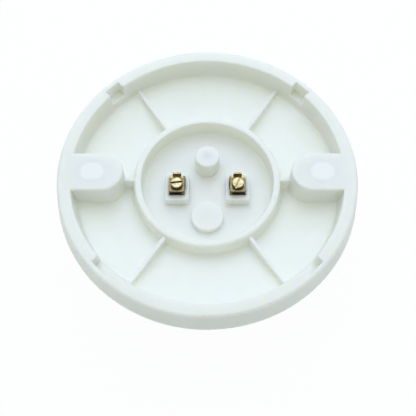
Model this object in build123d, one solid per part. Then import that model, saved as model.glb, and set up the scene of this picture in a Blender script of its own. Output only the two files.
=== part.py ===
from build123d import *
import os

# Ceiling lamp holder: one white moulding with a screw socket in front and two brass terminals behind.
# Millimetres. The back face that meets the ceiling is z = 0 and faces +Z; the socket points down, along -Z.
# The terminals lie on the X axis, the tall screw post on +Y.

# Base plate of the moulding
BASE_DIAMETER = 110.0
SIDE_FLARE = 1.7
RIM_LAND = 4.8
RIM_EDGE_ROUND = 1.2
RIM_INNER_ROUND = 0.6
RIM_INNER_DRAFT = 0.5
DOME_WALL = 2.4
FLOOR_DEPTH_AT_RIM = 9.4
FLOOR_DEPTH_AT_RING = 12.4
SHOULDER_ROUND = 1.2
FLOOR_FILLET = 1.0
EDGE_BREAK = 0.35

# Terminal ring on the back
RING_BORE_DIAMETER = 49.8
RING_WALL = 2.5
RING_DRAFT = 0.9
RING_EDGE_ROUND = 0.9
RING_DROP = 6.0
CHAMBER_DEPTH = 13.8
CHAMBER_FLOOR = 2.5

# Socket barrel in front
OVERALL_HEIGHT = 46.0
BARREL_ROOT_DIAMETER = 47.0
BARREL_MOUTH_DIAMETER = 41.0
BARREL_WALL = 2.6
BARREL_ROOT_FILLET = 4.0
MOUTH_ROUND = 0.9

# Fixing lugs with their screw wells
LUG_WIDTH = 15.4
LUG_TIP_RADIUS = 31.0
LUG_WALL = 2.0
LUG_FLOOR = 2.0
LUG_EDGE_ROUND = 0.7
KNOCKOUT_RADIUS = 42.4
KNOCKOUT_LENGTH = 9.0
KNOCKOUT_WIDTH = 7.4
KNOCKOUT_MEMBRANE = 0.8

# Ribs and cable notches
RIB_ANGLE = 56.0
RIB_THICKNESS = 1.3
RIB_TOP_AT_RING = 7.6
RIB_TOP_AT_RIM = 7.2
LUG_RIB_STEP = 0.4
NOTCH_ANGLE = 45.0
NOTCH_WIDTH = 6.6
NOTCH_DEPTH = 2.8
NOTCH_HEIGHT = 5.5

# Bosses inside the ring
SCREW_POST_OFFSET = 9.8
SCREW_POST_DIAMETER = 9.8
SCREW_POST_TOP = 6.0
PEG_BOSS_OFFSET = 12.8
PEG_BOSS_DIAMETER = 12.2
PEG_BOSS_HEIGHT = 2.6
BOSS_DRAFT = 2.0
BOSS_EDGE_ROUND = 0.5

# Terminal pads
TERMINAL_OFFSET = 11.5
TERMINAL_SCREW_Y = -1.9
PAD_WIDTH = 9.0
PAD_HEIGHT = 3.9
PAD_FRONT_MARGIN = 2.1
PAD_BACK_MARGIN = 1.2
PAD_CORNER_ROUND = 0.8

# Brass contact strips
STRIP_THICKNESS = 0.7
PLATE_WIDTH = 6.2
PLATE_FRONT = 3.0
PLATE_BACK = 5.05
STOP_WIDTH = 3.2
STOP_HEIGHT = 2.6
LEG_WIDTH = 4.8
STRIP_BEND = 0.9
COLLAR_WALL = 0.4
COLLAR_DEPTH = 1.4
FOOT_REACH = 4.6
TONGUE_FLAT = 3.6
TONGUE_RISE = 2.6
TONGUE_CROWN = 3.2
TONGUE_TIP_RUN = 1.6
TONGUE_TIP_DROP = 1.1

# Terminal screws and clamp washers
TERMINAL_SCREW_DIAMETER = 2.9
TERMINAL_HEAD_DIAMETER = 4.6
TERMINAL_HEAD_HEIGHT = 2.0
TERMINAL_SHANK_LENGTH = 5.2
HEAD_EDGE_ROUND = 0.45
SLOT_WIDTH = 0.8
SLOT_DEPTH = 0.9
LEFT_SLOT_ANGLE = 8.0
RIGHT_SLOT_ANGLE = 68.0
WASHER_SIZE = 6.0
WASHER_THICKNESS = 0.9
WASHER_CORNER = 0.5
OPEN_GAP = 1.2
SCREW_TIP_ROOM = 0.8

# Screw shell, its fixing screw and its peg
SHELL_BORE_DIAMETER = 26.6
SHELL_NECK_STEP = 0.3
SHELL_NECK_HEIGHT = 4.2
SHELL_HEIGHT = 22.5
SHELL_SHEET = 0.4
SHELL_BEAD = 0.8
FLANGE_INNER_DIAMETER = 21.2
TAB_WIDTH = 6.4
TAB_INNER_RADIUS = 7.2
PEG_OFFSET = 11.7
PEG_DIAMETER = 1.9
PEG_LENGTH = 2.2
PEG_ROOM = 0.4
FIXING_SCREW_DIAMETER = 2.8
FIXING_SHANK_LENGTH = 8.4
FIXING_HEAD_DIAMETER = 5.0
FIXING_HEAD_HEIGHT = 1.8
FIXING_TIP_ROOM = 1.0

# Clearances
RUNNING_CLEARANCE = 0.05
SCREW_SEAT_CLEARANCE = 0.02
STRIP_CLEARANCE = 0.08
HOLE_CLEARANCE = 0.15

# Worked-out sizes
base_radius = BASE_DIAMETER / 2
front_radius = base_radius + SIDE_FLARE
rim_inner_radius = base_radius - RIM_LAND
rim_middle_radius = base_radius - RIM_LAND / 2
wall_foot_radius = rim_inner_radius - RIM_INNER_DRAFT
ring_inner_radius = RING_BORE_DIAMETER / 2
ring_outer_radius = ring_inner_radius + RING_WALL
ring_middle_radius = ring_inner_radius + RING_WALL / 2
ring_foot_radius = ring_outer_radius + RING_DRAFT
barrel_root_radius = BARREL_ROOT_DIAMETER / 2
barrel_mouth_radius = BARREL_MOUTH_DIAMETER / 2
chamber_floor_z = -CHAMBER_DEPTH
front_floor_z = chamber_floor_z - CHAMBER_FLOOR
floor_slope = (FLOOR_DEPTH_AT_RING - FLOOR_DEPTH_AT_RIM) / (wall_foot_radius - ring_foot_radius)
pad_top_z = chamber_floor_z + PAD_HEIGHT
plate_top_z = pad_top_z + STRIP_THICKNESS
washer_base_z = plate_top_z + OPEN_GAP
head_seat_z = washer_base_z + WASHER_THICKNESS
plate_front_y = TERMINAL_SCREW_Y - PLATE_FRONT
plate_back_y = TERMINAL_SCREW_Y + PLATE_BACK
leg_inner_x = TERMINAL_OFFSET - PLATE_WIDTH / 2
leg_middle_x = leg_inner_x + STRIP_THICKNESS / 2
bend_inside = STRIP_BEND - STRIP_THICKNESS / 2
screw_hole_radius = TERMINAL_SCREW_DIAMETER / 2 + RUNNING_CLEARANCE
collar_radius = screw_hole_radius + COLLAR_WALL
shell_bore_radius = SHELL_BORE_DIAMETER / 2
shell_neck_radius = shell_bore_radius - SHELL_NECK_STEP
flange_inner_radius = FLANGE_INNER_DIAMETER / 2
shell_seat_z = front_floor_z - SHELL_SHEET


def floor_z(radius):
    """Height of the sloping floor between ring and rim at a radius."""
    return -FLOOR_DEPTH_AT_RIM - floor_slope * (wall_foot_radius - radius)


def front_z(radius):
    """Height of the dome's front face at a radius: one wall below the floor."""
    return floor_z(radius) - DOME_WALL


def half_section(points, rounds):
    """Closed half section in the XZ plane, each corner rounded by its own radius."""
    outline = Polyline(*points, close=True)
    face = make_face(outline)
    for point, radius in zip(points, rounds):
        if radius > 0:
            corner = face.vertices().sort_by_distance(Vector(*point))[0]
            face = fillet(corner, radius)
    return Plane.XZ * face


def along_y(section, y_low, y_high):
    """Solid from a section drawn in X and Z, between two Y values."""
    return Pos(0, y_low, 0) * extrude(Plane.XZ * section, amount=y_high - y_low, dir=(0, 1, 0))


def block(x_low, x_high, y_low, y_high, z_low, z_high):
    """Box between two corners."""
    size = (x_high - x_low, y_high - y_low, z_high - z_low)
    middle = ((x_low + x_high) / 2, (y_low + y_high) / 2, (z_low + z_high) / 2)
    return Pos(*middle) * Box(*size)


def rod(x, y, z_low, z_high, radius):
    """Upright cylinder between two heights."""
    return Pos(x, y, (z_low + z_high) / 2) * Cylinder(radius, z_high - z_low)


def boss(x, y, z_low, z_high, base_diameter):
    """Moulded boss with draft and a rounded top edge."""
    body = extrude(Pos(x, y, z_low) * Circle(base_diameter / 2), amount=z_high - z_low, taper=BOSS_DRAFT)
    return fillet(body.edges().group_by(Axis.Z)[-1], BOSS_EDGE_ROUND)


def outer_form():
    """The moulding's outside as a full solid: rim, shoulder, dome face and barrel."""
    points = [
        (0, 0),
        (base_radius, 0),
        (front_radius, front_z(front_radius)),
        (barrel_root_radius, front_z(barrel_root_radius)),
        (barrel_mouth_radius, -OVERALL_HEIGHT),
        (0, -OVERALL_HEIGHT),
    ]
    rounds = [0, RIM_EDGE_ROUND, SHOULDER_ROUND, BARREL_ROOT_FILLET, MOUTH_ROUND, 0]
    return revolve(half_section(points, rounds), Axis.Z)


def back_hollow():
    """Space removed from the back: the dished base outside the ring and the chamber inside it."""
    dish = [
        (rim_middle_radius, 0),
        (rim_inner_radius, 0),
        (wall_foot_radius, floor_z(wall_foot_radius)),
        (ring_foot_radius, floor_z(ring_foot_radius)),
        (ring_outer_radius, -RING_DROP),
        (ring_inner_radius, -RING_DROP),
        (ring_inner_radius, chamber_floor_z),
        (0, chamber_floor_z),
        (0, RIM_LAND),
        (rim_middle_radius, RIM_LAND),
    ]
    rounds = [0, RIM_INNER_ROUND, FLOOR_FILLET, FLOOR_FILLET,
              RING_EDGE_ROUND, EDGE_BREAK, FLOOR_FILLET, 0, 0, 0]
    return revolve(half_section(dish, rounds), Axis.Z)


def socket_hollow():
    """Space removed from the front: the inside of the barrel."""
    root = barrel_root_radius - BARREL_WALL
    mouth = barrel_mouth_radius - BARREL_WALL
    points = [(0, front_floor_z), (root, front_floor_z), (mouth, -OVERALL_HEIGHT), (0, -OVERALL_HEIGHT)]
    return revolve(half_section(points, [0, FLOOR_FILLET, 0, 0]), Axis.Z)


def u_shape(tip, end, width):
    """Plan of a lug on +X: straight sides and a full round end towards the axis."""
    centre = tip + width / 2
    return Pos((centre + end) / 2, 0) * Rectangle(end - centre, width) + Pos(centre, 0) * Circle(width / 2)


def lug_pad():
    """Raised fixing lug on +X, flush with the rim."""
    plan = u_shape(LUG_TIP_RADIUS, rim_middle_radius, LUG_WIDTH)
    pad = extrude(plan, amount=front_z(ring_outer_radius))
    top_edges = pad.edges().group_by(Axis.Z)[-1].sort_by(Axis.X)
    return fillet(top_edges[:-1], LUG_EDGE_ROUND)


def lug_well():
    """Screw well that opens to the front below a lug, with its thin knock-out floor."""
    plan = u_shape(LUG_TIP_RADIUS + LUG_WALL, rim_inner_radius, LUG_WIDTH - 2 * LUG_WALL)
    well = extrude(Pos(0, 0, -LUG_FLOOR) * plan, amount=front_z(barrel_root_radius) - DOME_WALL)
    patch = Pos(KNOCKOUT_RADIUS, 0, -KNOCKOUT_MEMBRANE) * SlotOverall(KNOCKOUT_LENGTH, KNOCKOUT_WIDTH)
    return well + extrude(patch, amount=-LUG_FLOOR)


def rib(inner_radius, outer_radius, inner_top, outer_top):
    """Upright rib on +X between two radii, its foot sunk in the floor."""
    points = [
        (inner_radius, -inner_top),
        (outer_radius, -outer_top),
        (outer_radius, floor_z(outer_radius) - DOME_WALL / 2),
        (inner_radius, floor_z(inner_radius) - DOME_WALL / 2),
    ]
    return along_y(make_face(Polyline(*points, close=True)), -RIB_THICKNESS / 2, RIB_THICKNESS / 2)


def cable_notch():
    """Thinned place in the rim on +X where a cable can be broken in."""
    return block(wall_foot_radius - NOTCH_DEPTH, rim_inner_radius + NOTCH_DEPTH,
                 -NOTCH_WIDTH / 2, NOTCH_WIDTH / 2, -NOTCH_HEIGHT, NOTCH_HEIGHT)


def terminal_pad(side):
    """Raised pad that carries one terminal plate."""
    pad = block(side * TERMINAL_OFFSET - PAD_WIDTH / 2, side * TERMINAL_OFFSET + PAD_WIDTH / 2,
                plate_front_y - PAD_FRONT_MARGIN, plate_back_y + PAD_BACK_MARGIN,
                chamber_floor_z - CHAMBER_FLOOR / 2, pad_top_z)
    pad = fillet(pad.edges().filter_by(Axis.Z), PAD_CORNER_ROUND)
    return fillet(pad.faces().sort_by(Axis.Z)[-1].edges(), EDGE_BREAK)


def leg_slot(foot_outwards):
    """Slot for a contact's leg on +X, eased where the strip bends over its edges."""
    leg_outer_x = leg_inner_x + STRIP_THICKNESS
    half = LEG_WIDTH / 2 + STRIP_CLEARANCE
    slot = block(leg_inner_x - STRIP_CLEARANCE, leg_outer_x + STRIP_CLEARANCE, -half, half,
                 front_floor_z - CHAMBER_FLOOR, pad_top_z + PAD_HEIGHT)
    slot += block(leg_outer_x, leg_outer_x + bend_inside, -half, half,
                  pad_top_z - bend_inside, pad_top_z + PAD_HEIGHT)
    if foot_outwards:
        pocket_roof_z = front_floor_z + STRIP_THICKNESS
        slot += block(leg_outer_x, leg_inner_x + FOOT_REACH + STRIP_CLEARANCE, -half, half,
                      front_floor_z - CHAMBER_FLOOR, pocket_roof_z)
        slot += block(leg_outer_x, leg_outer_x + bend_inside, -half, half,
                      front_floor_z, pocket_roof_z + bend_inside)
    else:
        slot += block(leg_inner_x - bend_inside, leg_inner_x, -half, half,
                      front_floor_z - CHAMBER_FLOOR, front_floor_z + bend_inside)
    return slot


def terminal_screw_hole(side):
    """Blind hole under a terminal plate for its collar and the screw's end."""
    hole_bottom_z = head_seat_z - TERMINAL_SHANK_LENGTH - OPEN_GAP - SCREW_TIP_ROOM
    return rod(side * TERMINAL_OFFSET, TERMINAL_SCREW_Y, hole_bottom_z, pad_top_z + PAD_HEIGHT,
               collar_radius + HOLE_CLEARANCE)


def make_housing():
    """The single white moulding."""
    form = outer_form()
    body = form - back_hollow() - socket_hollow()
    for turn in (0, 180):
        body += Rot(0, 0, turn) * (lug_pad() & form)
        body += Rot(0, 0, turn) * rib(ring_middle_radius, LUG_TIP_RADIUS + LUG_WALL / 2,
                                      RING_DROP + LUG_RIB_STEP, RING_DROP + LUG_RIB_STEP)
    for turn in (RIB_ANGLE, 180 - RIB_ANGLE, 180 + RIB_ANGLE, -RIB_ANGLE):
        body += Rot(0, 0, turn) * rib(ring_middle_radius, rim_middle_radius, RIB_TOP_AT_RING, RIB_TOP_AT_RIM)
    body += boss(0, SCREW_POST_OFFSET, chamber_floor_z, -SCREW_POST_TOP, SCREW_POST_DIAMETER)
    body += boss(0, -PEG_BOSS_OFFSET, chamber_floor_z, chamber_floor_z + PEG_BOSS_HEIGHT, PEG_BOSS_DIAMETER)
    for side in (-1, 1):
        body += terminal_pad(side)
    for turn in (0, 180):
        body -= Rot(0, 0, turn) * lug_well()
    for turn in (NOTCH_ANGLE, 180 - NOTCH_ANGLE, 180 + NOTCH_ANGLE, -NOTCH_ANGLE):
        body -= Rot(0, 0, turn) * cable_notch()
    for side in (-1, 1):
        body -= terminal_screw_hole(side)
    body -= leg_slot(foot_outwards=True)
    body -= mirror(leg_slot(foot_outwards=False), Plane.YZ)
    screw_tip_z = shell_seat_z + FIXING_SHANK_LENGTH + FIXING_TIP_ROOM
    body -= rod(0, SCREW_POST_OFFSET, front_floor_z - CHAMBER_FLOOR, screw_tip_z,
                FIXING_SCREW_DIAMETER / 2 + SCREW_SEAT_CLEARANCE)
    body -= rod(0, -PEG_OFFSET, front_floor_z - CHAMBER_FLOOR, front_floor_z + PEG_LENGTH + PEG_ROOM,
                PEG_DIAMETER / 2 + RUNNING_CLEARANCE)
    return body


def make_shell():
    """Thin screw shell: inward flange on the socket floor, plain neck, bore and outward bead at the mouth."""
    neck_z = front_floor_z - SHELL_NECK_HEIGHT
    mouth_z = front_floor_z - SHELL_HEIGHT
    outside = shell_bore_radius + SHELL_SHEET
    points = [
        (flange_inner_radius, front_floor_z),
        (shell_neck_radius + SHELL_SHEET, front_floor_z),
        (shell_neck_radius + SHELL_SHEET, neck_z),
        (outside, neck_z - SHELL_NECK_STEP),
        (outside, mouth_z + 2 * SHELL_SHEET),
        (outside + SHELL_BEAD, mouth_z + SHELL_SHEET),
        (outside + SHELL_BEAD, mouth_z),
        (shell_bore_radius + SHELL_SHEET / 2, mouth_z),
        (shell_bore_radius, mouth_z + SHELL_SHEET),
        (shell_bore_radius, neck_z - SHELL_NECK_STEP),
        (shell_neck_radius, neck_z),
        (shell_neck_radius, shell_seat_z),
        (flange_inner_radius, shell_seat_z),
    ]
    shell = revolve(half_section(points, [0] * len(points)), Axis.Z)
    flange_middle_radius = (flange_inner_radius + shell_neck_radius) / 2
    shell += block(-TAB_WIDTH / 2, TAB_WIDTH / 2, TAB_INNER_RADIUS, flange_middle_radius,
                   shell_seat_z, front_floor_z)
    shell -= rod(0, SCREW_POST_OFFSET, shell_seat_z - SHELL_SHEET, front_floor_z + SHELL_SHEET,
                 FIXING_SCREW_DIAMETER / 2 + HOLE_CLEARANCE)
    shell += rod(0, -PEG_OFFSET, shell_seat_z, front_floor_z + PEG_LENGTH, PEG_DIAMETER / 2)
    return shell


def screw(head_diameter, head_height, shank_diameter, shank_length, slot_angle):
    """Slotted screw standing head up: seat at z = 0, shank below it."""
    head = Pos(0, 0, head_height / 2) * Cylinder(head_diameter / 2, head_height)
    head = fillet(head.edges().group_by(Axis.Z)[-1], HEAD_EDGE_ROUND)
    slot = Pos(0, 0, head_height) * Rot(0, 0, slot_angle) * Box(2 * head_diameter, SLOT_WIDTH, 2 * SLOT_DEPTH)
    shank = rod(0, 0, -shank_length, 0, shank_diameter / 2)
    tip = shank.edges().group_by(Axis.Z)[0]
    return head - slot + chamfer(tip, EDGE_BREAK)


def make_fixing_screw():
    """Screw that holds the shell's tab against the socket floor, driven from the front."""
    upright = screw(FIXING_HEAD_DIAMETER, FIXING_HEAD_HEIGHT, FIXING_SCREW_DIAMETER, FIXING_SHANK_LENGTH, 0)
    return Pos(0, SCREW_POST_OFFSET, shell_seat_z) * Rot(180, 0, 0) * upright


def make_terminal_screw(side, slot_angle):
    """Clamp screw of one terminal, drawn open by the gap under its washer."""
    upright = screw(TERMINAL_HEAD_DIAMETER, TERMINAL_HEAD_HEIGHT, TERMINAL_SCREW_DIAMETER,
                    TERMINAL_SHANK_LENGTH, slot_angle)
    return Pos(side * TERMINAL_OFFSET, TERMINAL_SCREW_Y, head_seat_z) * upright


def make_washer(side):
    """Square clamp washer under a terminal screw's head."""
    plan = RectangleRounded(WASHER_SIZE, WASHER_SIZE, WASHER_CORNER) - Circle(screw_hole_radius)
    return Pos(side * TERMINAL_OFFSET, TERMINAL_SCREW_Y, washer_base_z) * extrude(plan, amount=WASHER_THICKNESS)


def strip_section(route):
    """Section of a bent strip whose middle line follows the points, with rounded bends."""
    return trace(FilletPolyline(*route, radius=STRIP_BEND), STRIP_THICKNESS)


def make_contact(route):
    """Contact strip on +X: screw plate with tapped collar and wire stop, leg, and what the route adds."""
    strip = along_y(strip_section(route), plate_front_y, plate_back_y)
    for low, high in ((-base_radius, -LEG_WIDTH / 2), (LEG_WIDTH / 2, base_radius)):
        strip -= block(-base_radius, base_radius, low, high, -OVERALL_HEIGHT, pad_top_z)
    collar = rod(TERMINAL_OFFSET, TERMINAL_SCREW_Y, pad_top_z - COLLAR_DEPTH, pad_top_z + STRIP_THICKNESS / 2,
                 collar_radius)
    hole = rod(TERMINAL_OFFSET, TERMINAL_SCREW_Y, pad_top_z - 2 * COLLAR_DEPTH, plate_top_z + STRIP_THICKNESS,
               screw_hole_radius)
    stop = block(TERMINAL_OFFSET - STOP_WIDTH / 2, TERMINAL_OFFSET + STOP_WIDTH / 2,
                 plate_back_y - STRIP_THICKNESS, plate_back_y, pad_top_z, plate_top_z + STOP_HEIGHT)
    return strip + collar + stop - hole


def terminal_route():
    """First points of both strips: along the screw plate, then down the leg."""
    plate_middle_z = pad_top_z + STRIP_THICKNESS / 2
    return [(leg_inner_x + PLATE_WIDTH, plate_middle_z), (leg_middle_x, plate_middle_z)]


def make_shell_contact():
    """Right contact: its foot turns outwards and is clamped under the shell's flange."""
    foot_z = front_floor_z + STRIP_THICKNESS / 2
    return make_contact(terminal_route() + [(leg_middle_x, foot_z), (leg_inner_x + FOOT_REACH, foot_z)])


def make_centre_contact():
    """Left contact: its foot turns inwards and rises to the sprung tongue on the socket's axis."""
    flat_z = front_floor_z - STRIP_THICKNESS / 2
    crown_z = flat_z - TONGUE_RISE
    route = terminal_route() + [
        (leg_middle_x, flat_z),
        (leg_middle_x - TONGUE_FLAT, flat_z),
        (TONGUE_CROWN / 2, crown_z),
        (-TONGUE_CROWN / 2, crown_z),
        (-TONGUE_CROWN / 2 - TONGUE_TIP_RUN, crown_z + TONGUE_TIP_DROP),
    ]
    return mirror(make_contact(route), Plane.YZ)


def main():
    """Builds every piece and writes one STEP file for each."""
    pieces = {
        "housing": make_housing(),
        "screw_shell": make_shell(),
        "shell_fixing_screw": make_fixing_screw(),
        "centre_contact": make_centre_contact(),
        "shell_contact": make_shell_contact(),
        "left_clamp_washer": make_washer(-1),
        "right_clamp_washer": make_washer(1),
        "left_terminal_screw": make_terminal_screw(-1, LEFT_SLOT_ANGLE),
        "right_terminal_screw": make_terminal_screw(1, RIGHT_SLOT_ANGLE),
    }
    os.makedirs("parts", exist_ok=True)
    for name, piece in pieces.items():
        export_step(piece, f"parts/{name}.step")
        print(name, round(piece.volume, 2), "mm3")


main()
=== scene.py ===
# %% [markdown]
# # A ceiling lamp holder, dressed in Blender
#
# The holder is one round white moulding that is screwed to a ceiling. The photograph looks into its back:
# a dished base with ribs, a ring round two brass screw terminals, and two lugs for the fixing screws. The
# lamp's screw socket is on the other side, so here the holder stands on its mouth like an upturned cup.
#
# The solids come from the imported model, already in place and in metres. This script adds what solids leave
# out, which is rolled and cut threads, pressed edges and finishes, and then the camera, floor and light.

# %% Load the frame
import math

import bmesh
import bpy
import mathutils
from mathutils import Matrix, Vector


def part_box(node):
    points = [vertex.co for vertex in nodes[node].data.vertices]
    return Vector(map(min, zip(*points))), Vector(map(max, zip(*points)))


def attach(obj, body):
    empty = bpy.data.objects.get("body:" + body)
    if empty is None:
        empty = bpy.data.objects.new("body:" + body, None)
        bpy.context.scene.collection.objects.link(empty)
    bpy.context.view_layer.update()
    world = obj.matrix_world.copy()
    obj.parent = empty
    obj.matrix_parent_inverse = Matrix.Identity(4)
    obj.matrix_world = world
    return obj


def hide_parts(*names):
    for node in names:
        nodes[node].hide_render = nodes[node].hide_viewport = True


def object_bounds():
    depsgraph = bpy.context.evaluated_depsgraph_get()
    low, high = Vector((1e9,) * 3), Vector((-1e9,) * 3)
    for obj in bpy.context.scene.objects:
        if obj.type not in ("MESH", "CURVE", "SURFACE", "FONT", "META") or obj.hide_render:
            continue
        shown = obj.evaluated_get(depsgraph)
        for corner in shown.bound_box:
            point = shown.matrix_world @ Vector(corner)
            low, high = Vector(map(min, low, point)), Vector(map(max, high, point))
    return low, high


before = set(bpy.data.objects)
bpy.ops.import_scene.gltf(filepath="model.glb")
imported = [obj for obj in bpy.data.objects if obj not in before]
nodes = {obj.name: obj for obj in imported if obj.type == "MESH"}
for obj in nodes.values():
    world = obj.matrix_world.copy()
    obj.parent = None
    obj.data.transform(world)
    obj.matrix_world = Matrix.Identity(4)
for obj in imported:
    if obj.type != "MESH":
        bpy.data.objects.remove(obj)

MM = 0.001
cad_low, cad_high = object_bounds()
cad_size = [round((high - low) / MM, 2) for low, high in zip(cad_low, cad_high)]
print("frame:", len(nodes), "solids, box in mm", cad_size)

# %% [markdown]
# ## Tools for turned and rolled pieces
#
# Screws and the socket's shell are round. Blender could lathe them with a Screw modifier, but a thread needs
# a radius that changes with both the height and the turn. So one helper sweeps rows of points round an axis
# and lets a thread eat into each row by its own share. Sizes are in millimetres until a mesh is finished.

# %% Thread forms
def round_thread(phase):
    """Rolled thread: smooth waves, 0 at the root and 1 at the crest."""
    return 0.5 + 0.5 * math.cos(math.tau * phase)


def vee_thread(phase):
    """Cut thread: straight flanks, 0 at the crest and 1 at the root."""
    return abs(2.0 * (phase % 1.0) - 1.0)


for form in (round_thread, vee_thread):
    print(form.__name__, "over half a turn:", [round(form(step / 8), 2) for step in range(5)])

# %% Sweep rows of points round an axis
def join_rings(bm, near, far):
    """Faces between two closed rings of as many points."""
    for step in range(len(near)):
        after = (step + 1) % len(near)
        bm.faces.new((near[step], near[after], far[after], far[step]))


def sweep(bm, rows, columns, pitch=1.0, depth=0.0, form=round_thread, closed=False, centre_y=0.0):
    """Sweeps rows of (radius, height, share) round Z; share scales a right-hand thread cut inwards."""
    rings = []
    for radius, height, share in rows:
        ring = []
        for column in range(columns):
            turn = column / columns
            reach = radius - share * depth * form(height / pitch - turn)
            x = reach * math.cos(math.tau * turn)
            y = reach * math.sin(math.tau * turn) + centre_y
            ring.append(bm.verts.new((x, y, height)))
        rings.append(ring)
    if closed:
        rings.append(rings[0])
    else:
        bm.faces.new(rings[0])
        bm.faces.new(rings[-1])
    for low, high in zip(rings, rings[1:]):
        join_rings(bm, low, high)


def spread(start, end, count):
    """Evenly spaced values from start to end, both included."""
    return [start + (end - start) * step / (count - 1) for step in range(count)]


def arc_rows(radius, height, bend, start, end, count):
    """Rows along a rounded edge whose centre lies at a radius and height; angles in degrees."""
    angles = [math.radians(angle) for angle in spread(start, end, count)]
    return [(radius + bend * math.cos(angle), height + bend * math.sin(angle), 0.0) for angle in angles]


example = arc_rows(radius=1.0, height=0.0, bend=1.0, start=0, end=90, count=3)
print("a rounded edge in three rows:", [tuple(round(value, 2) for value in row) for row in example])

# %% Turn a bmesh into a piece that rides on a body
SMOOTH_BELOW = 35


def to_metres(bm):
    """Turns faces outwards and scales a mesh drawn in millimetres to metres."""
    bmesh.ops.recalc_face_normals(bm, faces=bm.faces)
    bmesh.ops.scale(bm, vec=(MM, MM, MM), verts=bm.verts)


def make_object(name, bm):
    """Makes an object of a bmesh that was drawn in millimetres."""
    to_metres(bm)
    mesh = bpy.data.meshes.new(name)
    bm.to_mesh(mesh)
    bm.free()
    piece = bpy.data.objects.new(name, mesh)
    bpy.context.scene.collection.objects.link(piece)
    return piece


def settle(piece):
    """Applies the piece's modifiers to its mesh and smooths all but its sharp edges."""
    depsgraph = bpy.context.evaluated_depsgraph_get()
    mesh = bpy.data.meshes.new_from_object(piece.evaluated_get(depsgraph))
    piece.modifiers.clear()
    piece.data = mesh
    mesh.shade_smooth()
    mesh.set_sharp_from_angle(angle=math.radians(SMOOTH_BELOW))
    return piece


def fit(piece, body, node):
    """Puts a finished piece in the place of one CAD node."""
    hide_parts(node)
    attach(piece, body)
    print(piece.name, "replaces", node, "with", len(piece.data.polygons), "faces")


print("edges under", SMOOTH_BELOW, "degrees are shaded smooth")

# %% [markdown]
# ## Screw shell
#
# The metal cup in the socket is thin sheet with a round thread rolled into it, so the wave shows on both of
# its faces. A sheet with a Solidify modifier would do, but its lip and flange would need trimming. Here one
# closed loop of rows runs down the inside and back up the outside, and both sides follow the same thread.
# A tab on the flange takes the fixing screw, and a peg opposite keeps the shell from turning. The tab is
# drawn as two outlines at two heights with a ring of points for the hole, and the washers use that again.

# %% Sizes of the shell
def box_mm(node):
    """A node's lowest and highest corners in millimetres."""
    return tuple(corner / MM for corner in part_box(node))


SHEET = 0.4
SHELL_ROOT_RADIUS = 13.3
SHELL_NECK_RADIUS = 13.0
SHELL_PITCH = 3.63
SHELL_THREAD_DEPTH = 0.95
SHELL_COLUMNS = 120
THREAD_ROWS = 76
THREAD_RUN_OUT = 1.6
PEG_LENGTH = 2.2
NECK_LENGTH = 4.2
NECK_BEND_INSIDE = 0.5
NECK_BEND_OUTSIDE = 0.6
FLANGE_INNER_RADIUS = 10.6
shell_low, shell_high = box_mm("screw_shell")
SOCKET_FLOOR = shell_high.z - PEG_LENGTH
FLANGE_FACE = SOCKET_FLOOR - SHEET
NECK_END = SOCKET_FLOOR - NECK_LENGTH
MOUTH = shell_low.z
BEAD_RADIUS = shell_high.x
print("shell: from", round(MOUTH, 2), "to", round(SOCKET_FLOOR, 2), "mm, bead", round(BEAD_RADIUS, 2), "mm")

# %% Profile of the rolled shell
def thread_share(height):
    """How much of the thread's depth a height has: none in the neck, fading out before the lip."""
    from_neck = (NECK_END - height) / THREAD_RUN_OUT
    from_lip = (height - MOUTH - 2 * SHEET) / THREAD_RUN_OUT
    return min(1.0, max(0.0, from_neck), max(0.0, from_lip))


def shell_profile():
    """One closed loop: flange, neck and thread down the inside, round the lip, and back up the outside."""
    heights = spread(NECK_END, MOUTH + 2 * SHEET, THREAD_ROWS)
    bend = NECK_BEND_INSIDE
    inside = [(FLANGE_INNER_RADIUS, FLANGE_FACE, 0.0)]
    inside += arc_rows(SHELL_NECK_RADIUS - bend, FLANGE_FACE - bend, bend, start=90, end=0, count=5)
    inside += [(SHELL_ROOT_RADIUS, height, thread_share(height)) for height in heights]
    lip = arc_rows(SHELL_ROOT_RADIUS + SHEET, MOUTH + SHEET, SHEET, start=180, end=270, count=4)
    bend = SHEET / 2
    lip += arc_rows(BEAD_RADIUS - bend, MOUTH + bend, bend, start=270, end=450, count=7)
    lip += [(SHELL_ROOT_RADIUS + 2 * SHEET, MOUTH + SHEET, 0.0)]
    bend = NECK_BEND_OUTSIDE
    outside = [(SHELL_ROOT_RADIUS + SHEET, height, thread_share(height)) for height in reversed(heights)]
    outside += arc_rows(SHELL_NECK_RADIUS + SHEET - bend, SOCKET_FLOOR - bend, bend, start=0, end=90, count=5)
    outside += [(FLANGE_INNER_RADIUS, SOCKET_FLOOR, 0.0)]
    return inside + lip + outside


shell_rows = shell_profile()
print("shell profile:", len(shell_rows), "rows, pitch", SHELL_PITCH, "mm")

# %% Outline of the tab for the fixing screw
TAB_HALF_WIDTH = 3.2
TAB_INNER_RADIUS = 7.2
TAB_OUTER_RADIUS = 11.8
TAB_HOLE_RADIUS = 1.55
TAB_COLUMNS = 32
fixing_low, fixing_high = box_mm("shell_fixing_screw")
FIXING_SCREW_Y = (fixing_low.y + fixing_high.y) / 2
tab_outline = []
tab_hole = []
for column in range(TAB_COLUMNS):
    turn = math.tau * (column + 0.5) / TAB_COLUMNS
    dx, dy = math.cos(turn), math.sin(turn)
    tab_end = TAB_OUTER_RADIUS if dy > 0 else TAB_INNER_RADIUS
    reach = min(TAB_HALF_WIDTH / abs(dx), (tab_end - FIXING_SCREW_Y) / dy)
    tab_outline.append((dx * reach, FIXING_SCREW_Y + dy * reach))
    tab_hole.append((dx * TAB_HOLE_RADIUS, FIXING_SCREW_Y + dy * TAB_HOLE_RADIUS))
print("tab: hole at y", round(FIXING_SCREW_Y, 2), "mm")

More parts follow.
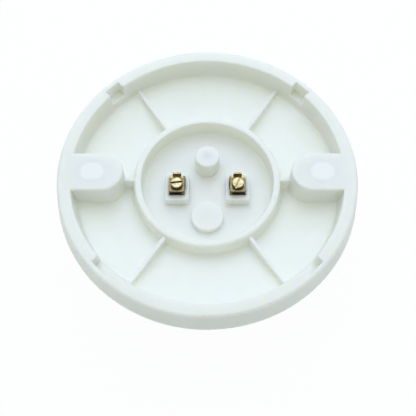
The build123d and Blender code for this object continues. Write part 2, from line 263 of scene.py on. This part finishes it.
# %% Shell, tab and peg in one piece
PEG_Y = -11.7
PEG_RADIUS = 0.95
PEG_TOP = SOCKET_FLOOR + PEG_LENGTH
PEG_EDGE = 0.2
PEG_COLUMNS = 24
TUCK = 0.03


def punched_plate(bm, outline, hole, z_low, z_high):
    """Flat plate whose outline and hole have as many (x, y) points, as one closed shell."""
    rings = []
    for level in (z_low, z_high):
        for points in (outline, hole):
            rings.append([bm.verts.new((x, y, level)) for x, y in points])
    outer_low, inner_low, outer_high, inner_high = rings
    join_rings(bm, outer_low, inner_low)
    join_rings(bm, outer_high, inner_high)
    join_rings(bm, outer_low, outer_high)
    join_rings(bm, inner_low, inner_high)


bm = bmesh.new()
sweep(bm, shell_rows, SHELL_COLUMNS, SHELL_PITCH, SHELL_THREAD_DEPTH, round_thread, closed=True)
punched_plate(bm, tab_outline, tab_hole, FLANGE_FACE + TUCK, SOCKET_FLOOR - TUCK)
peg_rows = [(PEG_RADIUS, SOCKET_FLOOR - SHEET / 2, 0.0), (PEG_RADIUS, PEG_TOP - PEG_EDGE, 0.0),
            (PEG_RADIUS - PEG_EDGE, PEG_TOP, 0.0)]
sweep(bm, peg_rows, PEG_COLUMNS, centre_y=PEG_Y)
shell = settle(make_object("threaded_shell", bm))
fit(shell, "holder", "screw_shell")

# %% [markdown]
# ## Terminal screws and the fixing screw
#
# Each terminal is a small slotted screw with a cut thread. The head is turned, so its rim is round, and the
# slot is sawn across it. The slot could be drawn face by face, but a Boolean cut followed by a small Bevel
# is what the saw and the deburring do to the real head. The thread is swept with the shank.

# %% Profiles of a screw
SEAT_EDGE = 0.12
HEAD_ROUND = 0.45
HEAD_CROWN = 0.08
CROWN_STEPS = (0.8, 0.5, 0.2)
POINT_LENGTH = 0.35
POINT_TAPER = 0.55
SHANK_IN_HEAD = 0.05
ROWS_PER_TURN = 8


def head_rows(radius, height):
    """Rows of a head from its seat to its slightly crowned top."""
    rows = [(radius - SEAT_EDGE, 0.0, 0.0), (radius, SEAT_EDGE, 0.0)]
    crown = radius - HEAD_ROUND
    rows += arc_rows(crown, height - HEAD_CROWN - HEAD_ROUND, HEAD_ROUND, start=0, end=80, count=6)
    return rows + [(crown * share, height - HEAD_CROWN * share ** 2, 0.0) for share in CROWN_STEPS]


def shank_rows(radius, length, pitch):
    """Rows of a threaded shank from its pointed end up into the head."""
    heights = spread(POINT_LENGTH - length, SHANK_IN_HEAD, int(length / pitch * ROWS_PER_TURN))
    point = [(radius - POINT_TAPER, -length, 0.0)]
    return point + [(radius, height, min(1.0, max(0.0, -height / pitch))) for height in heights]


print("screws:", ROWS_PER_TURN, "rows to a turn of thread,", len(CROWN_STEPS), "rows on a head's crown")

# %% Turn a head and saw its slot
SLOT_WIDTH = 0.8
SLOT_DEPTH = 0.9
SLOT_EDGE = 0.07
HEAD_COLUMNS = 64


def soften(piece, name, width, segments, sharper_than):
    """Adds a Bevel to edges sharper than an angle in degrees."""
    edge = piece.modifiers.new(name, "BEVEL")
    edge.width = width * MM
    edge.segments = segments
    edge.limit_method = "ANGLE"
    edge.angle_limit = math.radians(sharper_than)


def sawn_head(name, slot_angle, diameter, height):
    """Slotted head that stands on its seat at the origin."""
    bm = bmesh.new()
    sweep(bm, head_rows(diameter / 2, height), HEAD_COLUMNS)
    head = make_object(name, bm)
    saw = bmesh.new()
    bmesh.ops.create_cube(saw, size=1.0)
    bmesh.ops.scale(saw, vec=(2 * diameter, SLOT_WIDTH, 2 * SLOT_DEPTH), verts=saw.verts)
    bmesh.ops.rotate(saw, matrix=mathutils.Matrix.Rotation(math.radians(slot_angle), 3, "Z"), verts=saw.verts)
    bmesh.ops.translate(saw, vec=(0.0, 0.0, height), verts=saw.verts)
    blade = make_object("saw_blade", saw)
    cut = head.modifiers.new("sawn slot", "BOOLEAN")
    cut.operation = "DIFFERENCE"
    cut.solver = "EXACT"
    cut.object = blade
    soften(head, "deburred edge", SLOT_EDGE, segments=2, sharper_than=40)
    settle(head)
    bpy.data.objects.remove(blade)
    return head


print("slots are", SLOT_WIDTH, "mm wide and", SLOT_DEPTH, "mm deep")

# %% Join a head and a threaded shank
SHANK_COLUMNS = 32


def turned_screw(name, slot_angle, head_diameter, head_height, diameter, length, pitch, thread_depth):
    """Slotted screw that stands on its seat at the origin, head up."""
    screw = sawn_head(name, slot_angle, head_diameter, head_height)
    whole = bmesh.new()
    sweep(whole, shank_rows(diameter / 2, length, pitch), SHANK_COLUMNS, pitch, thread_depth, vee_thread)
    to_metres(whole)
    whole.from_mesh(screw.data)
    whole.to_mesh(screw.data)
    whole.free()
    return settle(screw)


def place(piece, spot, upside_down=False):
    """Moves a piece's mesh from the origin to its spot in millimetres, so the object stays at the origin."""
    matrix = mathutils.Matrix.Translation([value * MM for value in spot])
    if upside_down:
        matrix = matrix @ mathutils.Matrix.Rotation(math.pi, 4, "X")
    piece.data.transform(matrix)
    return piece


print("shanks have", SHANK_COLUMNS, "columns, heads", HEAD_COLUMNS)

# %% Three screws
HEAD_HEIGHT = 2.0
screw_low, screw_high = box_mm("right_terminal_screw")
TERMINAL_X = (screw_low.x + screw_high.x) / 2
TERMINAL_Y = (screw_low.y + screw_high.y) / 2
HEAD_SEAT = screw_high.z - HEAD_HEIGHT
SIDES = {"left": -TERMINAL_X, "right": TERMINAL_X}
SLOT_ANGLES = {"left": 8.0, "right": 68.0}
TERMINAL_SCREW = {"head_diameter": screw_high.x - screw_low.x, "head_height": HEAD_HEIGHT, "diameter": 2.9,
                  "length": 5.2, "pitch": 0.5, "thread_depth": 0.28}
FIXING_SCREW = {"head_diameter": 5.0, "head_height": 1.8, "diameter": 2.8, "length": 8.4, "pitch": 1.06,
                "thread_depth": 0.4}
terminal_pieces = []
for side, x in SIDES.items():
    screw = turned_screw(f"{side}_slotted_screw", SLOT_ANGLES[side], **TERMINAL_SCREW)
    place(screw, (x, TERMINAL_Y, HEAD_SEAT))
    fit(screw, f"{side}_screw", f"{side}_terminal_screw")
    terminal_pieces.append(screw)
fixing_screw = turned_screw("slotted_fixing_screw", 0.0, **FIXING_SCREW)
place(fixing_screw, (0.0, FIXING_SCREW_Y, FLANGE_FACE), upside_down=True)
fit(fixing_screw, "holder", "shell_fixing_screw")

# %% [markdown]
# ## Clamp washers
#
# A square washer under each head presses the wire on to the brass plate. It is stamped from strip, so its
# upper edges are rolled over by the punch. A plain box with a hole would look like a block of wood, so the
# outline is drawn with round corners and a Bevel softens both faces.

# %% Outline of a washer
WASHER_SIZE = 6.0
WASHER_CORNER = 0.5
WASHER_HOLE_RADIUS = 1.5
CORNER_POINTS = 9
washer_outline = []
washer_hole = []
for corner_x, corner_y, start in ((1, 1, 0), (-1, 1, 90), (-1, -1, 180), (1, -1, 270)):
    for angle in spread(start, start + 90, CORNER_POINTS):
        x = corner_x * (WASHER_SIZE / 2 - WASHER_CORNER) + WASHER_CORNER * math.cos(math.radians(angle))
        y = corner_y * (WASHER_SIZE / 2 - WASHER_CORNER) + WASHER_CORNER * math.sin(math.radians(angle))
        inwards = WASHER_HOLE_RADIUS / math.hypot(x, y)
        washer_outline.append((x, y))
        washer_hole.append((x * inwards, y * inwards))
print("washer outline:", len(washer_outline), "points")

# %% Stamp the washers
WASHER_THICKNESS = 0.9
WASHER_BASE = HEAD_SEAT - WASHER_THICKNESS
WASHER_EDGE = 0.16
for side, x in SIDES.items():
    bm = bmesh.new()
    punched_plate(bm, washer_outline, washer_hole, 0.0, WASHER_THICKNESS)
    washer = make_object(f"{side}_square_washer", bm)
    soften(washer, "rolled edge", WASHER_EDGE, segments=3, sharper_than=60)
    place(settle(washer), (x, TERMINAL_Y, WASHER_BASE))
    fit(washer, f"{side}_clamp", f"{side}_clamp_washer")
    terminal_pieces.append(washer)

# %% [markdown]
# ## Effects that several finishes share
#
# Real surfaces are never one colour: plastic has faint clouds from the melt, and brass goes dull in patches.
# Each finish could carry its own copy of the same noise nodes, but a node group keeps one recipe and lets
# each finish choose its own scale. Groups give out only masks and heights, and the shader stays outside.

# %% Helpers for shader nodes
def put(tree, kind, inputs=None, **settings):
    """Adds a node, sets its options, and sets or links its inputs."""
    node = tree.nodes.new(kind)
    for key, value in settings.items():
        setattr(node, key, value)
    for key, value in (inputs or {}).items():
        if isinstance(value, bpy.types.NodeSocket):
            tree.links.new(value, node.inputs[key])
        else:
            node.inputs[key].default_value = value
    return node


def maths(tree, operation, *values):
    """One sum, product or the like of numbers or outputs."""
    return put(tree, "ShaderNodeMath", dict(enumerate(values)), operation=operation).outputs[0]


def remap(tree, value, low, high, to_low=0.0, to_high=1.0):
    """Stretches a value's range low to high on to another range, held at its ends."""
    inputs = {"Value": value, "From Min": low, "From Max": high, "To Min": to_low, "To Max": to_high}
    return put(tree, "ShaderNodeMapRange", inputs).outputs["Result"]


def noise(tree, vector, scale, detail, roughness=0.5):
    """Noise from about 0 to 1, its scale in patches to a metre."""
    inputs = {"Vector": vector, "Scale": scale, "Detail": detail, "Roughness": roughness}
    return put(tree, "ShaderNodeTexNoise", inputs).outputs["Fac"]


def new_group(name, inputs, output):
    """Empty shader node group with named inputs and one number as its output."""
    group = bpy.data.node_groups.new(name, "ShaderNodeTree")
    for label, kind, value in inputs:
        socket = group.interface.new_socket(label, in_out="INPUT", socket_type=kind)
        if value is not None:
            socket.default_value = value
    group.interface.new_socket(output, in_out="OUTPUT", socket_type="NodeSocketFloat")
    given = group.nodes.new("NodeGroupInput").outputs
    result = group.nodes.new("NodeGroupOutput").inputs[output]
    print("node group", name, "with", [label for label, kind, value in inputs], "gives", output)
    return group, given, result


# %% Clouds: soft patches of two sizes
FINER_PATCHES = 4.7
CLOUD_BEGINS = 0.72
CLOUD_FULL = 1.28
clouds, given, result = new_group(
    "Clouds", [("Vector", "NodeSocketVector", None), ("Scale", "NodeSocketFloat", 60.0)], "Mask")
finer = maths(clouds, "MULTIPLY", given["Scale"], FINER_PATCHES)
wide = noise(clouds, given["Vector"], given["Scale"], detail=3.0)
small = noise(clouds, given["Vector"], finer, detail=2.0)
clouds.links.new(remap(clouds, maths(clouds, "ADD", wide, small), CLOUD_BEGINS, CLOUD_FULL), result)

# %% Grain: the fine skin of a mould or a rolled sheet
grain, given, result = new_group(
    "Grain", [("Vector", "NodeSocketVector", None), ("Scale", "NodeSocketFloat", 2500.0)], "Height")
specks = noise(grain, given["Vector"], given["Scale"], detail=2.0)
cells = put(grain, "ShaderNodeTexVoronoi", {"Vector": given["Vector"], "Scale": given["Scale"]})
grain.links.new(maths(grain, "ADD", specks, cells.outputs["Distance"]), result)

# %% Scratches: hairlines drawn out along one direction
ALONG_Y = (1.0, 0.06, 1.0)
HAIRLINE_BEGINS = 0.56
HAIRLINE_FULL = 0.68
scratches, given, result = new_group(
    "Scratches", [("Vector", "NodeSocketVector", None), ("Scale", "NodeSocketFloat", 900.0),
                  ("Stretch", "NodeSocketVector", ALONG_Y)], "Mask")
drawn = put(scratches, "ShaderNodeVectorMath", {0: given["Vector"], 1: given["Stretch"]},
            operation="MULTIPLY")
lines = noise(scratches, drawn.outputs[0], given["Scale"], detail=4.0, roughness=0.7)
scratches.links.new(remap(scratches, lines, HAIRLINE_BEGINS, HAIRLINE_FULL), result)

# %% [markdown]
# ## White plastic
#
# The moulding is glossy white plastic, cool on its open faces and olive in its corners, because light that
# bounces between its walls picks up the faint cream of the resin. A plain white would stay grey there, so
# the colour is a warm white with slight clouds, and the light is cool. Light also runs a few millimetres
# inside the plastic, which softens its edges, so the shader scatters it below the surface. The thin
# knock-outs in the lugs let light through and look paler: that glow is painted into their colour as a paler
# white, and they scatter less. The skin has the fine grain of a polished mould and a very slight waviness
# from shrinking.

# %% Finish helpers
def new_finish(name):
    """Material with a Principled shader, and its object coordinates in metres."""
    material = bpy.data.materials.new(name)
    material.use_nodes = True
    tree = material.node_tree
    tree.nodes.clear()
    shader = put(tree, "ShaderNodeBsdfPrincipled")
    put(tree, "ShaderNodeOutputMaterial", {"Surface": shader.outputs["BSDF"]})
    spot = put(tree, "ShaderNodeTexCoord").outputs["Object"]
    print("new finish", name)
    return material, tree, shader, spot


def use(tree, group, **inputs):
    """Places a node group in a material with its own values."""
    return put(tree, "ShaderNodeGroup", inputs, node_tree=group).outputs[0]


def colour_mix(tree, factor, first, second):
    """Colour between two colours or colour outputs."""
    return put(tree, "ShaderNodeMix", {0: factor, 6: first, 7: second}, data_type="RGBA").outputs[2]


def bump(tree, height, distance, strength, under=None):
    """Normal bent by a height, its distance in metres, on top of another bump if one is given."""
    node = put(tree, "ShaderNodeBump", {"Height": height, "Distance": distance, "Strength": strength})
    if under is not None:
        tree.links.new(under, node.inputs["Normal"])
    return node.outputs["Normal"]


def dress(material, *pieces):
    """Gives pieces one material in place of what they came with."""
    for piece in pieces:
        piece.data.materials.clear()
        piece.data.materials.append(material)
    print(material.name, "on", ", ".join(piece.name for piece in pieces))


# %% Mask of the thin knock-outs, in metres
KNOCKOUT_CENTRE = 0.0424
KNOCKOUT_HALF_STRAIGHT = 0.0008
KNOCKOUT_END_RADIUS = 0.0037
FADE_INSIDE = 0.0006
FADE_OUTSIDE = 0.0004
MEMBRANE_BELOW = -0.0025
MEMBRANE_ABOVE = -0.0015


def thin_places(tree, spot):
    """1 on the two oval membranes of the lugs, and 0 elsewhere; it places their painted glow and weaker
    scattering.
    """
    axes = put(tree, "ShaderNodeSeparateXYZ", {"Vector": spot}).outputs
    from_centre = maths(tree, "SUBTRACT", maths(tree, "ABSOLUTE", axes["X"]), KNOCKOUT_CENTRE)
    past_straight = maths(tree, "SUBTRACT", maths(tree, "ABSOLUTE", from_centre), KNOCKOUT_HALF_STRAIGHT)
    sideways = maths(tree, "MAXIMUM", past_straight, 0.0)
    flat = put(tree, "ShaderNodeCombineXYZ", {"X": sideways, "Y": axes["Y"], "Z": 0.0}).outputs[0]
    span = put(tree, "ShaderNodeVectorMath", {0: flat}, operation="LENGTH").outputs["Value"]
    fade_from, fade_to = KNOCKOUT_END_RADIUS - FADE_INSIDE, KNOCKOUT_END_RADIUS + FADE_OUTSIDE
    oval = remap(tree, span, fade_from, fade_to, 1.0, 0.0)
    return maths(tree, "MULTIPLY", oval, remap(tree, axes["Z"], MEMBRANE_BELOW, MEMBRANE_ABOVE))


print("knock-outs at x", KNOCKOUT_CENTRE, "m on both sides")

# %% White plastic
RESIN = (0.885, 0.895, 0.835, 1.0)
RESIN_CLOUD = (0.87, 0.88, 0.81, 1.0)
# Painted glow: the knock-outs get this paler white in place of the light that comes through them.
PAINTED_GLOW_WHITE = (0.95, 0.96, 0.91, 1.0)
SKIN_GLOSSIEST = 0.34
SKIN_DULLEST = 0.42
SCATTER_REACH = 0.0028
SCATTER_TINT = (1.0, 1.0, 0.8)
SCATTER_THIN = 0.1
white_plastic, tree, shader, spot = new_finish("white_plastic")
cloud = use(tree, clouds, Vector=spot, Scale=45.0)
thin = thin_places(tree, spot)
# The knock-outs' paler white is painted glow, mixed over the clouded resin colour.
resin = colour_mix(tree, thin, colour_mix(tree, cloud, RESIN, RESIN_CLOUD), PAINTED_GLOW_WHITE)
tree.links.new(resin, shader.inputs["Base Color"])
tree.links.new(remap(tree, cloud, 0.0, 1.0, SKIN_GLOSSIEST, SKIN_DULLEST), shader.inputs["Roughness"])
tree.links.new(remap(tree, thin, 0.0, 1.0, 1.0, SCATTER_THIN), shader.inputs["Subsurface Weight"])
shader.inputs["Subsurface Radius"].default_value = SCATTER_TINT
shader.inputs["Subsurface Scale"].default_value = SCATTER_REACH
shrunk = bump(tree, noise(tree, spot, scale=110.0, detail=1.0), distance=0.0002, strength=0.25)
skin = bump(tree, use(tree, grain, Vector=spot, Scale=3500.0), distance=0.00001, strength=0.25, under=shrunk)
tree.links.new(skin, shader.inputs["Normal"])
dress(white_plastic, nodes["housing"])

# %% [markdown]
# ## Brass and plated steel
#
# The terminals are stamped and turned brass, bright where a tool has rubbed it and dark brown-olive on their
# upright sides and under the heads. A metal's look is mostly what it mirrors, so the colour is a gold with
# duller clouds, and the roughness follows the same clouds. The dark brown-olive is painted shade and painted
# dark reflection, with some tarnish. It could be painted by hand, but it follows the shape: it sits on
# upright sides and low down under the heads. So a mask from the normal and the height places it. The
# shell is the same metal as clean rolled sheet, and the fixing screw is zinc-plated steel.

# %% Mask of the painted shade and tarnish
STEEP_FACE = 0.4
LEVEL_FACE = 0.95
# Painted shade and dark reflection, with some tarnish: where the dark brown-olive starts and stops on the
# terminals.
SHADE_AND_TARNISH_GONE_ABOVE = HEAD_SEAT + 1.7
SHADE_AND_TARNISH_FULL_BELOW = HEAD_SEAT + 0.3
SHADE_AND_TARNISH_SHARE = 0.65
SOCKET_BELOW = HEAD_SEAT - 6.0
CHAMBER_ABOVE = HEAD_SEAT - 5.0
STOP_BEGINS = TERMINAL_Y + 3.2
STOP_FULLY = TERMINAL_Y + 3.7
STOP_SHADE_AND_TARNISH = 0.1


def painted_shade_and_tarnish(tree, spot):
    """Painted shade and dark reflection, with some tarnishing: full on upright faces, partial below the
    heads, little on the wire stop, and none in the socket.
    """
    normal = put(tree, "ShaderNodeTexCoord").outputs["Normal"]
    facing = put(tree, "ShaderNodeSeparateXYZ", {"Vector": normal}).outputs["Z"]
    upright = remap(tree, maths(tree, "ABSOLUTE", facing), STEEP_FACE, LEVEL_FACE, 1.0, 0.0)
    axes = put(tree, "ShaderNodeSeparateXYZ", {"Vector": spot}).outputs
    deep = remap(tree, axes["Z"], SHADE_AND_TARNISH_FULL_BELOW * MM, SHADE_AND_TARNISH_GONE_ABOVE * MM, SHADE_AND_TARNISH_SHARE, 0.0)
    in_chamber = remap(tree, axes["Z"], SOCKET_BELOW * MM, CHAMBER_ABOVE * MM)
    off_stop = remap(tree, axes["Y"], STOP_BEGINS * MM, STOP_FULLY * MM, 1.0, STOP_SHADE_AND_TARNISH)
    either = maths(tree, "MAXIMUM", upright, deep)
    return maths(tree, "MULTIPLY", maths(tree, "MULTIPLY", either, in_chamber), off_stop)


# Painted shade and some tarnish are at their share below the first height and gone above the second, where
# the brass stays bright.
print("tarnish below", round(SHADE_AND_TARNISH_FULL_BELOW, 2), "mm, rubbed bright above", round(SHADE_AND_TARNISH_GONE_ABOVE, 2), "mm")

# %% Recipe for the metals
HAIRLINE_SCALE = 2600.0
HAIRLINE_SHARE = 0.35


def metal(name, bright, dull, cloud_scale, smooth, rough, stretch, shade_and_tarnish=None):
    """Metal with dull clouds, hairline scratches, a fine skin, and, if a colour is given, painted shade and
    dark reflection with some tarnishing on upright faces and under the heads.
    """
    material, tree, shader, spot = new_finish(name)
    cloud = use(tree, clouds, Vector=spot, Scale=cloud_scale)
    hairlines = use(tree, scratches, Vector=spot, Scale=HAIRLINE_SCALE, Stretch=stretch)
    clouded = colour_mix(tree, cloud, bright, dull)
    colour = colour_mix(tree, maths(tree, "MULTIPLY", hairlines, HAIRLINE_SHARE), clouded, bright)
    if shade_and_tarnish is not None:
        colour = colour_mix(tree, painted_shade_and_tarnish(tree, spot), colour, shade_and_tarnish)
    tree.links.new(colour, shader.inputs["Base Color"])
    tree.links.new(remap(tree, cloud, 0.0, 1.0, smooth, rough), shader.inputs["Roughness"])
    shader.inputs["Metallic"].default_value = 1.0
    cut = bump(tree, hairlines, distance=0.00001, strength=0.35)
    skin = bump(tree, use(tree, grain, Vector=spot, Scale=6000.0), distance=0.000008, strength=0.3, under=cut)
    tree.links.new(skin, shader.inputs["Normal"])
    return material


print("hairlines lighten a metal by up to", HAIRLINE_SHARE)

# %% Brass and steel
ROUND_THE_SHELL = (0.08, 0.08, 1.0)
# The terminal brass's dark brown-olive is painted shade and painted dark reflection, with some tarnish.
terminal_brass = metal("terminal_brass", bright=(0.63, 0.53, 0.31, 1.0), dull=(0.25, 0.205, 0.09, 1.0),
                       cloud_scale=420.0, smooth=0.22, rough=0.45, stretch=ALONG_Y,
                       shade_and_tarnish=(0.060, 0.048, 0.014, 1.0))
shell_brass = metal("shell_brass", bright=(0.87, 0.74, 0.46, 1.0), dull=(0.70, 0.56, 0.30, 1.0),
                    cloud_scale=160.0, smooth=0.20, rough=0.34, stretch=ROUND_THE_SHELL)
plated_steel = metal("plated_steel", bright=(0.74, 0.75, 0.76, 1.0), dull=(0.58, 0.58, 0.55, 1.0),
                     cloud_scale=300.0, smooth=0.22, rough=0.40, stretch=ALONG_Y)
dress(terminal_brass, nodes["centre_contact"], nodes["shell_contact"], *terminal_pieces)
dress(shell_brass, shell)
dress(plated_steel, fixing_screw)

# %% [markdown]
# ## Camera
#
# The photograph was taken close up, from the boss side and about 61 degrees above the base, so the far half
# of the rim looks smaller than the near half. A camera set by eye would miss that, so its place and lens
# were worked out from the rim, ring and lugs. The lens is given in pixels of the square photograph.

# %% Camera
IMAGE_PIXELS = 416
FOCAL_PIXELS = 631.0
MIDDLE_PIXEL = 207.3
SENSOR_WIDTH = 36.0
CAMERA_SPOT = (0.0, -0.1115, 0.2032)
TILT_FROM_STRAIGHT_DOWN = 25.4
lens = bpy.data.cameras.new("camera")
lens.sensor_width = SENSOR_WIDTH
lens.lens = SENSOR_WIDTH * FOCAL_PIXELS / IMAGE_PIXELS
lens.shift_x = (IMAGE_PIXELS / 2 - MIDDLE_PIXEL) / IMAGE_PIXELS
lens.clip_start = 0.005
camera = bpy.data.objects.new("camera", lens)
camera.location = CAMERA_SPOT
camera.rotation_euler = (math.radians(TILT_FROM_STRAIGHT_DOWN), 0.0, 0.0)
bpy.context.scene.collection.objects.link(camera)
bpy.context.scene.camera = camera
print("camera: lens", round(lens.lens, 1), "mm, shift", round(lens.shift_x, 4))

# %% [markdown]
# ## Floor and light
#
# The photograph is cut out on white, so the floor looks white to the camera and in reflections, and keeps a
# faint shadow. A plain sheet would shut the socket's mouth, which really hangs open below a ceiling, so the
# floor has a round hole there. The barrel hides it, and light comes in from below. One large soft light
# stands on the post side, as the shaded walls in the photograph show, and a sky fills in from all round. A
# small lamp would draw hard shadows of the ribs, which the photograph doesn't have.

# %% Floor with a hole under the socket
FLOOR_RADIUS = 3.0
MOUTH_LIP_RADIUS = 0.0196
FLOOR_COLUMNS = 64
ground = cad_low[2]
bm = bmesh.new()
floor_rings = []
for radius in (FLOOR_RADIUS, MOUTH_LIP_RADIUS):
    ring = []
    for turn in spread(0.0, math.tau, FLOOR_COLUMNS + 1)[:-1]:
        ring.append(bm.verts.new((radius * math.cos(turn), radius * math.sin(turn), ground)))
    floor_rings.append(ring)
join_rings(bm, *floor_rings)
floor_mesh = bpy.data.meshes.new("floor")
bm.to_mesh(floor_mesh)
bm.free()
floor = bpy.data.objects.new("floor", floor_mesh)
bpy.context.scene.collection.objects.link(floor)
print("floor at", round(ground / MM, 2), "mm, hole", round(MOUTH_LIP_RADIUS / MM, 2), "mm in radius")

# %% White for the camera, matt for the light
SHADOW_SHARE = 0.04
PAPER = (0.86, 0.93, 0.98, 1.0)
WHITE = (1.0, 1.0, 1.0, 1.0)


def seen_directly(tree):
    """1 for camera, glossy and transmission rays, and 0 for light that bounces off matt surfaces."""
    path = put(tree, "ShaderNodeLightPath").outputs
    mirrored = maths(tree, "MAXIMUM", path["Is Camera Ray"], path["Is Glossy Ray"])
    return maths(tree, "MAXIMUM", mirrored, path["Is Transmission Ray"])


def shader_mix(tree, factor, first, second):
    """Shader between two shaders."""
    return put(tree, "ShaderNodeMixShader", {0: factor, 1: first, 2: second}).outputs[0]


paper = bpy.data.materials.new("white_floor")
paper.use_nodes = True
tree = paper.node_tree
tree.nodes.clear()
matt = put(tree, "ShaderNodeBsdfDiffuse", {"Color": PAPER}).outputs[0]
glow = put(tree, "ShaderNodeEmission", {"Color": WHITE, "Strength": 1.0}).outputs[0]
clear = put(tree, "ShaderNodeBsdfTransparent").outputs[0]
seen = shader_mix(tree, seen_directly(tree), matt, shader_mix(tree, SHADOW_SHARE, glow, matt))
from_below = put(tree, "ShaderNodeNewGeometry").outputs["Backfacing"]
put(tree, "ShaderNodeOutputMaterial", {"Surface": shader_mix(tree, from_below, seen, clear)})
floor_mesh.materials.append(paper)
print("floor: white with", SHADOW_SHARE, "of its shadow, clear from below")

# %% Sky
SKY_COLOUR = (0.975, 1.0, 0.94, 1.0)
SKY_STRENGTH = 0.52
sky = bpy.data.worlds.new("sky")
bpy.context.scene.world = sky
sky.use_nodes = True
tree = sky.node_tree
tree.nodes.clear()
fill = put(tree, "ShaderNodeBackground", {"Color": SKY_COLOUR, "Strength": SKY_STRENGTH}).outputs[0]
backdrop = put(tree, "ShaderNodeBackground", {"Color": WHITE, "Strength": 1.0}).outputs[0]
put(tree, "ShaderNodeOutputWorld", {"Surface": shader_mix(tree, seen_directly(tree), fill, backdrop)})
print("sky:", SKY_STRENGTH, "of", SKY_COLOUR[:3])

# %% Soft light
LIGHT_COLOUR = (0.66, 0.78, 1.0)
LIGHT_SPOT = (0.0, 0.44, 0.81)
LIGHT_SIZE = 1.4
LIGHT_POWER = 7.3
lamp = bpy.data.lights.new("soft_light", "AREA")
lamp.shape = "DISK"
lamp.size = LIGHT_SIZE
lamp.energy = LIGHT_POWER
lamp.color = LIGHT_COLOUR
soft_light = bpy.data.objects.new("soft_light", lamp)
soft_light.location = LIGHT_SPOT
soft_light.rotation_euler = (-mathutils.Vector(LIGHT_SPOT)).to_track_quat("-Z", "Y").to_euler()
bpy.context.scene.collection.objects.link(soft_light)
bpy.context.scene.view_settings.view_transform = "Standard"
print("light:", LIGHT_POWER, "W from", LIGHT_SPOT)
